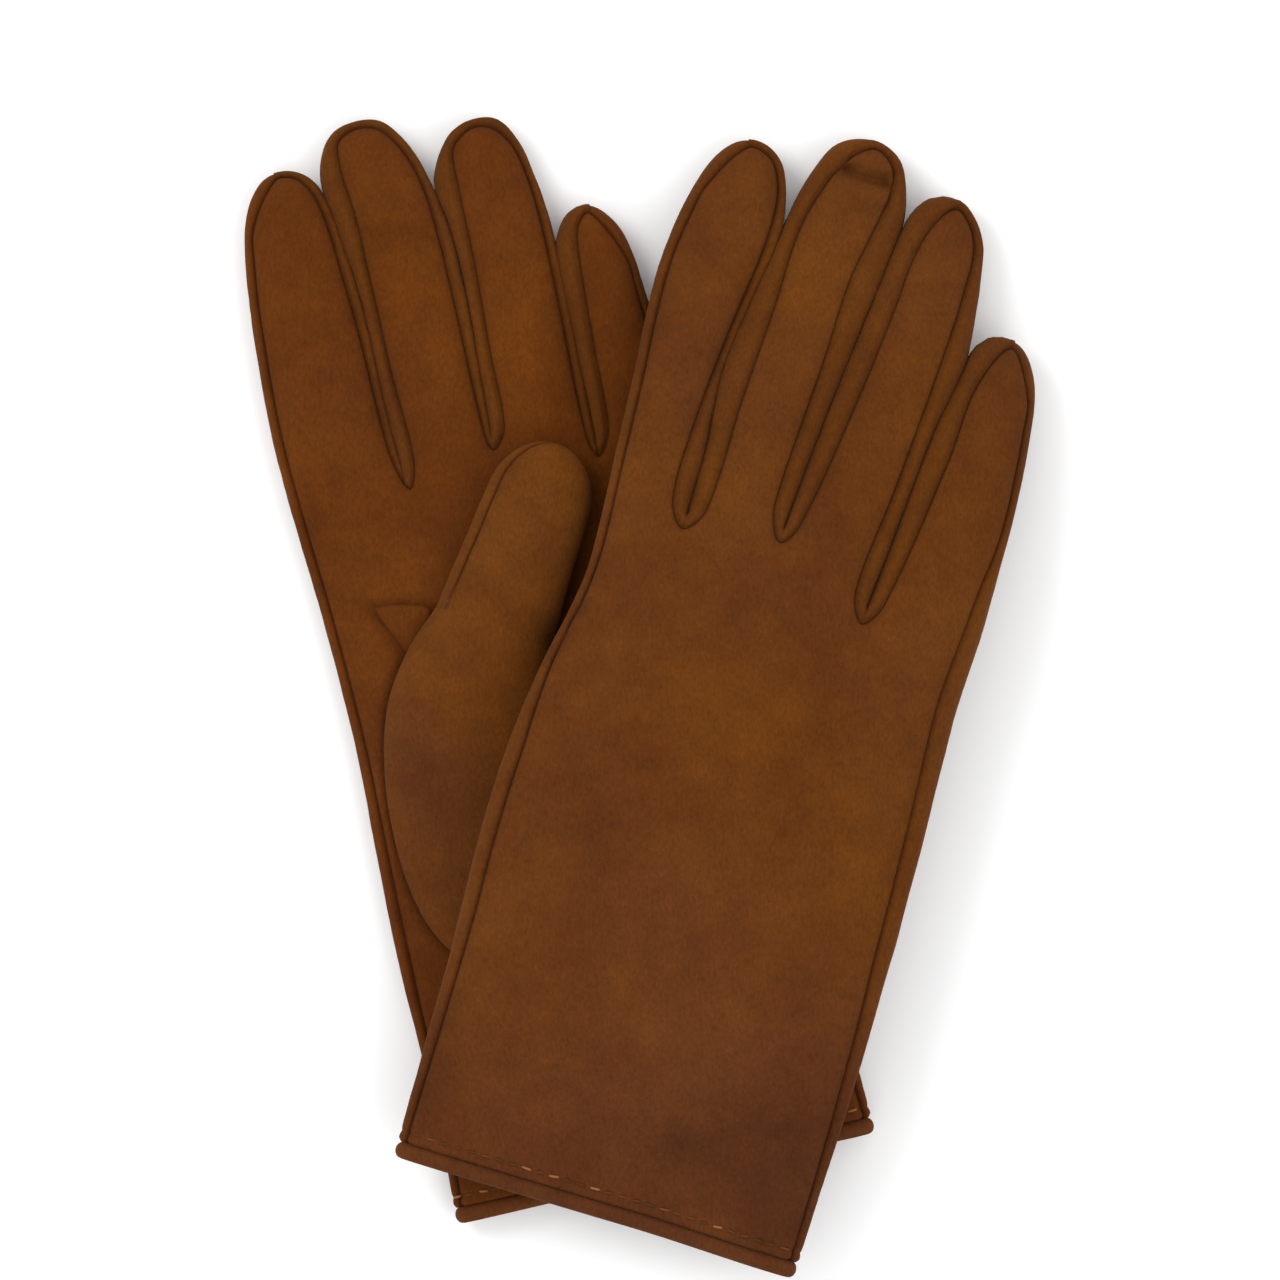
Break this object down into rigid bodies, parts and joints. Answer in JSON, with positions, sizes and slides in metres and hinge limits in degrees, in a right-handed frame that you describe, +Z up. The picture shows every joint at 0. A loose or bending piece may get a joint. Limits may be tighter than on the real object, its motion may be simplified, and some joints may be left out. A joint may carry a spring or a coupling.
{
  "type": "pair of leather gloves",
  "caption": "Pair of lined suede dress gloves laid across each other, left palm up and right back up, with bound cuffs, fourchettes and folded thumbs.",
  "frame": {"origin": "middle of the pair's bounding box, on the table it lies on", "axes": "+Y from the cuffs to the fingertips, +X to the right of someone looking down with the fingertips away from them, +Z up from the table"},
  "size_m": [0.1844, 0.2614, 0.0341],
  "materials": {
    "suede_panel": "brown suede, fine brushed nap, matt with a soft sheen",
    "suede_fourchette": "brown suede, a little darker in the creases between the fingers",
    "suede_thumb": "brown suede, a little lighter where the nap is rubbed",
    "suede_binding": "brown suede rolled over the cuff edge and topstitched",
    "lining_fabric": "dark brown knitted lining, smooth"
  },
  "bodies": {
    "left_hand": {"left_back_panel": "suede_panel", "left_cuff_binding": "suede_binding", "left_hand_lining": "lining_fabric", "left_palm_panel": "suede_panel", "left_quirk": "suede_fourchette", "left_thumb_heel": "suede_thumb"},
    "left_index": {"left_index_back": "suede_panel", "left_index_fourchette_little_side": "suede_fourchette", "left_index_lining": "lining_fabric", "left_index_palm": "suede_panel"},
    "left_middle": {"left_middle_back": "suede_panel", "left_middle_fourchette_index_side": "suede_fourchette", "left_middle_fourchette_little_side": "suede_fourchette", "left_middle_lining": "lining_fabric", "left_middle_palm": "suede_panel"},
    "left_ring": {"left_ring_back": "suede_panel", "left_ring_fourchette_index_side": "suede_fourchette", "left_ring_fourchette_little_side": "suede_fourchette", "left_ring_lining": "lining_fabric", "left_ring_palm": "suede_panel"},
    "left_little": {"left_little_back": "suede_panel", "left_little_fourchette_index_side": "suede_fourchette", "left_little_lining": "lining_fabric", "left_little_palm": "suede_panel"},
    "left_thumb": {"left_thumb": "suede_thumb", "left_thumb_lining": "lining_fabric"},
    "right_hand": {"right_back_panel": "suede_panel", "right_cuff_binding": "suede_binding", "right_hand_lining": "lining_fabric", "right_palm_panel": "suede_panel", "right_quirk": "suede_fourchette", "right_thumb_heel": "suede_thumb"},
    "right_index": {"right_index_back": "suede_panel", "right_index_fourchette_little_side": "suede_fourchette", "right_index_lining": "lining_fabric", "right_index_palm": "suede_panel"},
    "right_middle": {"right_middle_back": "suede_panel", "right_middle_fourchette_index_side": "suede_fourchette", "right_middle_fourchette_little_side": "suede_fourchette", "right_middle_lining": "lining_fabric", "right_middle_palm": "suede_panel"},
    "right_ring": {"right_ring_back": "suede_panel", "right_ring_fourchette_index_side": "suede_fourchette", "right_ring_fourchette_little_side": "suede_fourchette", "right_ring_lining": "lining_fabric", "right_ring_palm": "suede_panel"},
    "right_little": {"right_little_back": "suede_panel", "right_little_fourchette_index_side": "suede_fourchette", "right_little_lining": "lining_fabric", "right_little_palm": "suede_panel"},
    "right_thumb": {"right_thumb": "suede_thumb", "right_thumb_lining": "lining_fabric"}
  },
  "joints": [
    {"name": "right_glove_lift", "type": "slide", "parent": "left_hand", "child": "right_hand", "axis": [0, 0, 1], "range_m": [0, 0.08]},
    {"name": "left_index_flex", "type": "hinge", "parent": "left_hand", "child": "left_index", "pos_m": [-0.0659, 0.04649, 0.0118], "axis": [0.9712, 0.2381, 0], "range_deg": [0, 70]},
    {"name": "left_middle_flex", "type": "hinge", "parent": "left_hand", "child": "left_middle", "pos_m": [-0.0441, 0.05635, 0.0118], "axis": [0.9738, 0.2275, 0], "range_deg": [0, 70]},
    {"name": "left_ring_flex", "type": "hinge", "parent": "left_hand", "child": "left_ring", "pos_m": [-0.02261, 0.06151, 0.0118], "axis": [0.979, 0.2038, 0], "range_deg": [0, 70]},
    {"name": "left_little_flex", "type": "hinge", "parent": "left_hand", "child": "left_little", "pos_m": [0.00141, 0.05956, 0.0118], "axis": [0.9671, 0.2542, 0], "range_deg": [0, 8]},
    {"name": "right_index_flex", "type": "hinge", "parent": "right_hand", "child": "right_index", "pos_m": [0.0024, 0.04401, 0.03425], "axis": [0.96, -0.2801, 0], "range_deg": [0, 70]},
    {"name": "right_middle_flex", "type": "hinge", "parent": "right_hand", "child": "right_middle", "pos_m": [0.02334, 0.04145, 0.03394], "axis": [0.944, -0.33, 0], "range_deg": [0, 70]},
    {"name": "right_ring_flex", "type": "hinge", "parent": "right_hand", "child": "right_ring", "pos_m": [0.04458, 0.0336, 0.03415], "axis": [0.933, -0.3599, 0], "range_deg": [0, 70]},
    {"name": "right_little_flex", "type": "hinge", "parent": "right_hand", "child": "right_little", "pos_m": [0.06533, 0.01702, 0.0345], "axis": [0.9479, -0.3185, 0], "range_deg": [0, 70]},
    {"name": "left_thumb_lift", "type": "hinge", "parent": "left_hand", "child": "left_thumb", "pos_m": [-0.03241, 0.01494, 0.0221], "axis": [0.9426, -0.3338, 0], "range_deg": [0, 50]},
    {"name": "right_thumb_swing", "type": "hinge", "parent": "right_hand", "child": "right_thumb", "pos_m": [0.02349, -0.01022, 0.0168], "axis": [0, 0, -1], "range_deg": [0, 10]}
  ]
}
